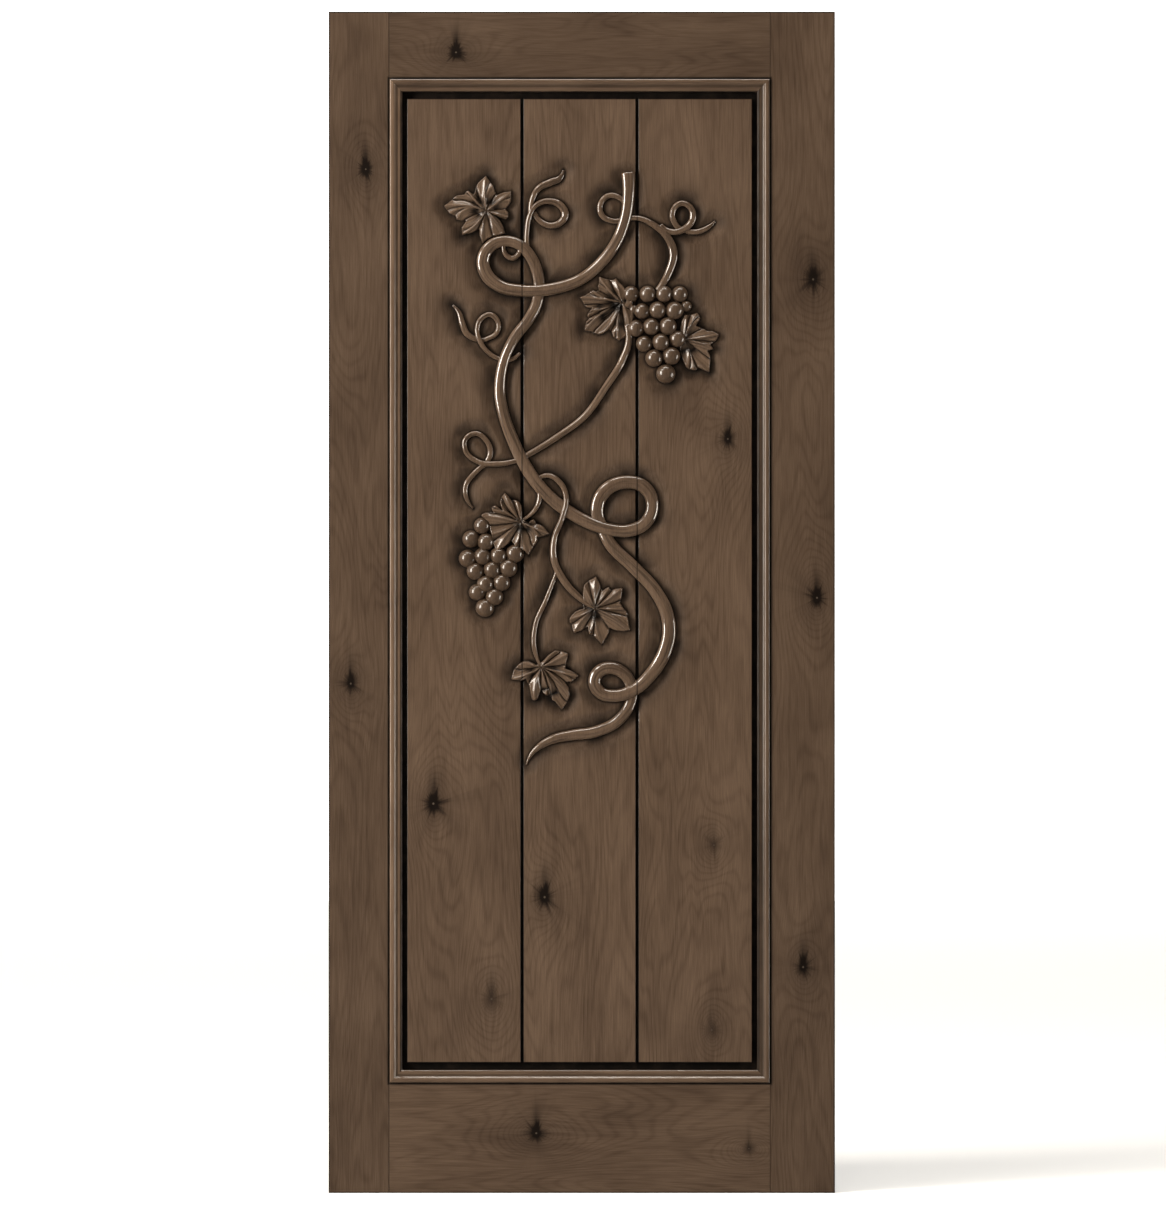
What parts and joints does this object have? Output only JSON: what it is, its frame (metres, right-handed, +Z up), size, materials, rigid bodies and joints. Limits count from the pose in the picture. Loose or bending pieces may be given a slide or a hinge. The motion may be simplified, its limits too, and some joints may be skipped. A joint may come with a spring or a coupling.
{
  "type": "wine cellar door leaf",
  "caption": "Solid wood door leaf: framed tongue-and-groove planks with mitred mouldings and a carved grapevine on the front.",
  "frame": {"origin": "on the hinge edge face, at mid-thickness and at the foot of the leaf", "axes": "+X from the hinge edge to the latch edge, +Z up, the carved front faces -Y"},
  "size_m": [0.9144, 0.059, 2.1336],
  "materials": {
    "stile_wood": "satin",
    "rail_wood": "satin",
    "moulding_wood": "satin",
    "plank_wood": "satin",
    "carved_wood": "satin"
  },
  "bodies": {
    "root": {"left_stile": "stile_wood", "right_stile": "stile_wood", "top_rail": "rail_wood", "bottom_rail": "rail_wood", "front_moulding_left": "moulding_wood", "front_moulding_right": "moulding_wood", "front_moulding_top": "moulding_wood", "front_moulding_bottom": "moulding_wood", "back_moulding_left": "moulding_wood", "back_moulding_right": "moulding_wood", "back_moulding_top": "moulding_wood", "back_moulding_bottom": "moulding_wood", "left_plank": "plank_wood", "middle_plank": "plank_wood", "right_plank": "plank_wood", "main_vine": "carved_wood", "upper_tendril": "carved_wood", "inner_curl": "carved_wood", "trunk_ring": "carved_wood", "upper_bunch_stalk": "carved_wood", "right_tendril": "carved_wood", "left_tendril": "carved_wood", "vine_bud": "carved_wood", "cross_branch": "carved_wood", "cross_tendril": "carved_wood", "looping_branch": "carved_wood", "leaf_branch": "carved_wood", "lower_bunch_stalk": "carved_wood", "grape_bunches": "carved_wood", "upper_left_leaf": "carved_wood", "upper_bunch_left_leaf": "carved_wood", "upper_bunch_right_leaf": "carved_wood", "lower_bunch_leaf": "carved_wood", "centre_leaf": "carved_wood", "foot_leaf": "carved_wood"}
  },
  "joints": []
}
